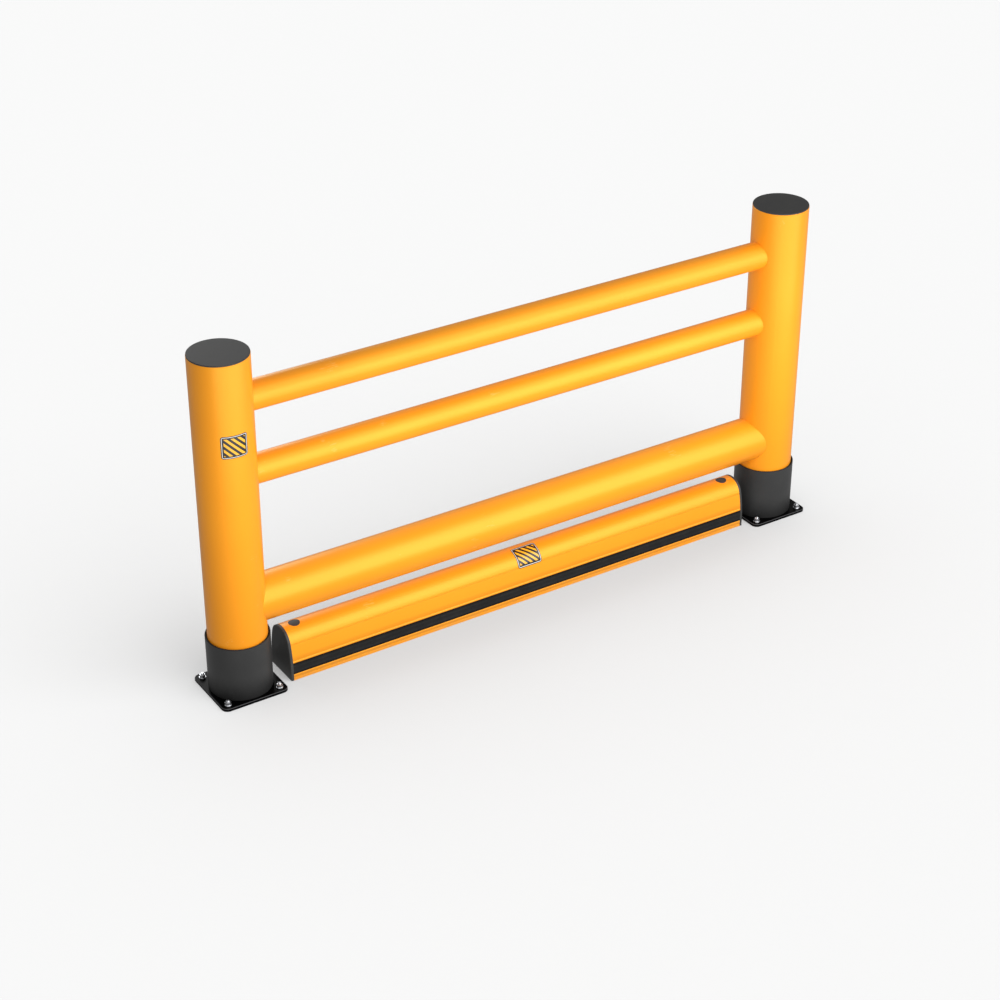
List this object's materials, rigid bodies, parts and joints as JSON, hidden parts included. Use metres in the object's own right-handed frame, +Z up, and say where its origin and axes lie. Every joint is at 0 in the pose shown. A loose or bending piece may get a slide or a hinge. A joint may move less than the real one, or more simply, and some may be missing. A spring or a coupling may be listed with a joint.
{
  "type": "polymer safety barrier",
  "caption": "Yellow polymer guard barrier: round posts on bolted steel feet carry round rails, with a floor kerb between the posts.",
  "frame": {"origin": "on the floor, midway between the two posts", "axes": "+Z up, +X along the rails, -Y to the front, the side with the stickers"},
  "size_m": [2.44, 0.24, 1.229],
  "materials": {
    "yellow_polymer": "satin",
    "dark_polymer": "satin",
    "plate_coat": "gloss",
    "inner_steel": "galvanised",
    "bright_zinc": "bright zinc",
    "black_rubber": "matt",
    "sticker_film": "gloss"
  },
  "bodies": {
    "root": {"anchor_nuts_left": "bright_zinc", "anchor_nuts_right": "bright_zinc", "anchor_studs_left": "bright_zinc", "anchor_studs_right": "bright_zinc", "anchor_washers_left": "bright_zinc", "anchor_washers_right": "bright_zinc", "base_plate_left": "plate_coat", "base_plate_right": "plate_coat", "bottom_rail": "yellow_polymer", "collar_left": "dark_polymer", "collar_right": "dark_polymer", "collar_seal_left": "black_rubber", "collar_seal_right": "black_rubber", "foot_pins_left": "inner_steel", "foot_pins_right": "inner_steel", "foot_spigot_left": "inner_steel", "foot_spigot_right": "inner_steel", "kerb_body": "yellow_polymer", "kerb_bolt_covers": "dark_polymer", "kerb_end_cap_left": "dark_polymer", "kerb_end_cap_right": "dark_polymer", "kerb_nuts": "bright_zinc", "kerb_sticker": "sticker_film", "kerb_strip_back": "black_rubber", "kerb_strip_front": "black_rubber", "kerb_studs": "bright_zinc", "kerb_washers": "bright_zinc", "middle_rail": "yellow_polymer", "post_cap_left": "dark_polymer", "post_cap_right": "dark_polymer", "post_left": "yellow_polymer", "post_right": "yellow_polymer", "post_sticker": "sticker_film", "rail_rod_left": "inner_steel", "rail_rod_right": "inner_steel", "top_rail": "yellow_polymer"}
  },
  "joints": []
}
